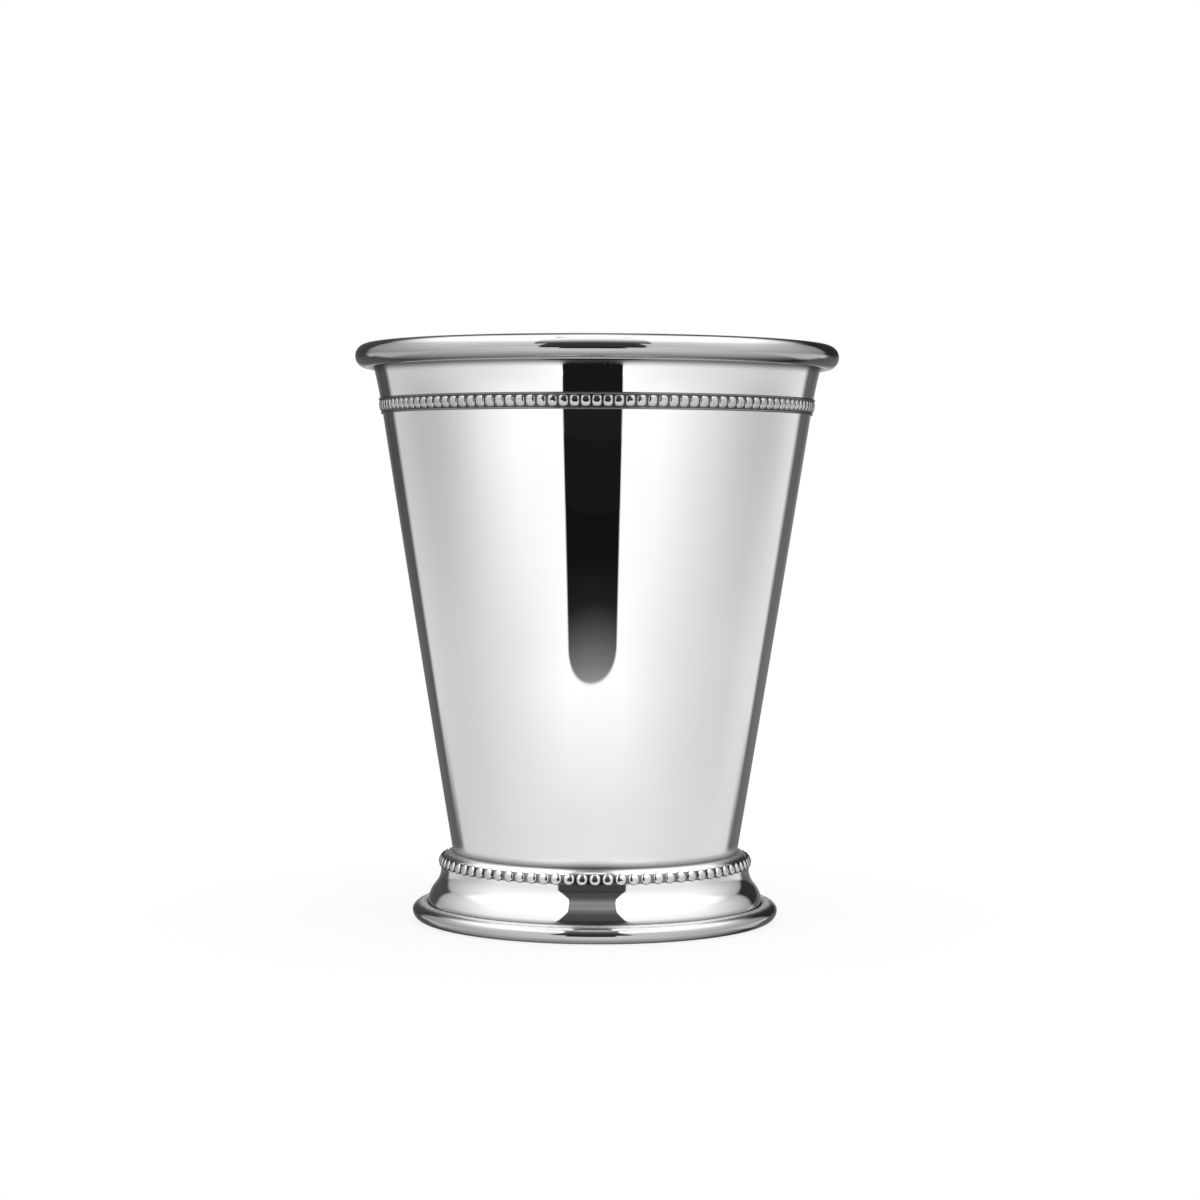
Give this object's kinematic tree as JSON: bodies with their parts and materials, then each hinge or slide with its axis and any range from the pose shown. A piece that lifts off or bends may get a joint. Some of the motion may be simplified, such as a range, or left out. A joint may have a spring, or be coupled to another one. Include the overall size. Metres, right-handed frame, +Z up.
{
  "type": "julep cup",
  "caption": "Tapered metal julep cup with a wired, rolled lip, a beaded band under the lip and a flared foot with a beaded shoulder and a rolled base edge.",
  "frame": {"origin": "centre of the plane that the foot stands on", "axes": "+Z up along the cup's axis of revolution; the cup is round, so X and Y are alike"},
  "size_m": [0.09, 0.09, 0.107],
  "materials": {
    "polished_plate": "bright nickel plate over spun brass sheet, mirror polished outside, satin spun inside",
    "band_plate": "bright nickel plate on rolled bead strip, darker in the gaps between the beads",
    "foot_plate": "bright nickel plate over spun brass sheet, mirror polished outside, dull inside",
    "bead_plate": "bright nickel plate on beaded wire, darker in the gaps between the beads",
    "core_wire": "drawn steel wire, unpolished",
    "solder": "soft solder, dull and slightly grainy"
  },
  "bodies": {
    "root": {"cup_body": "polished_plate", "lip_wire": "core_wire", "upper_bead_band": "band_plate", "foot_skirt": "foot_plate", "foot_bead_band": "bead_plate", "foot_wire": "core_wire", "foot_solder": "solder"}
  },
  "joints": []
}
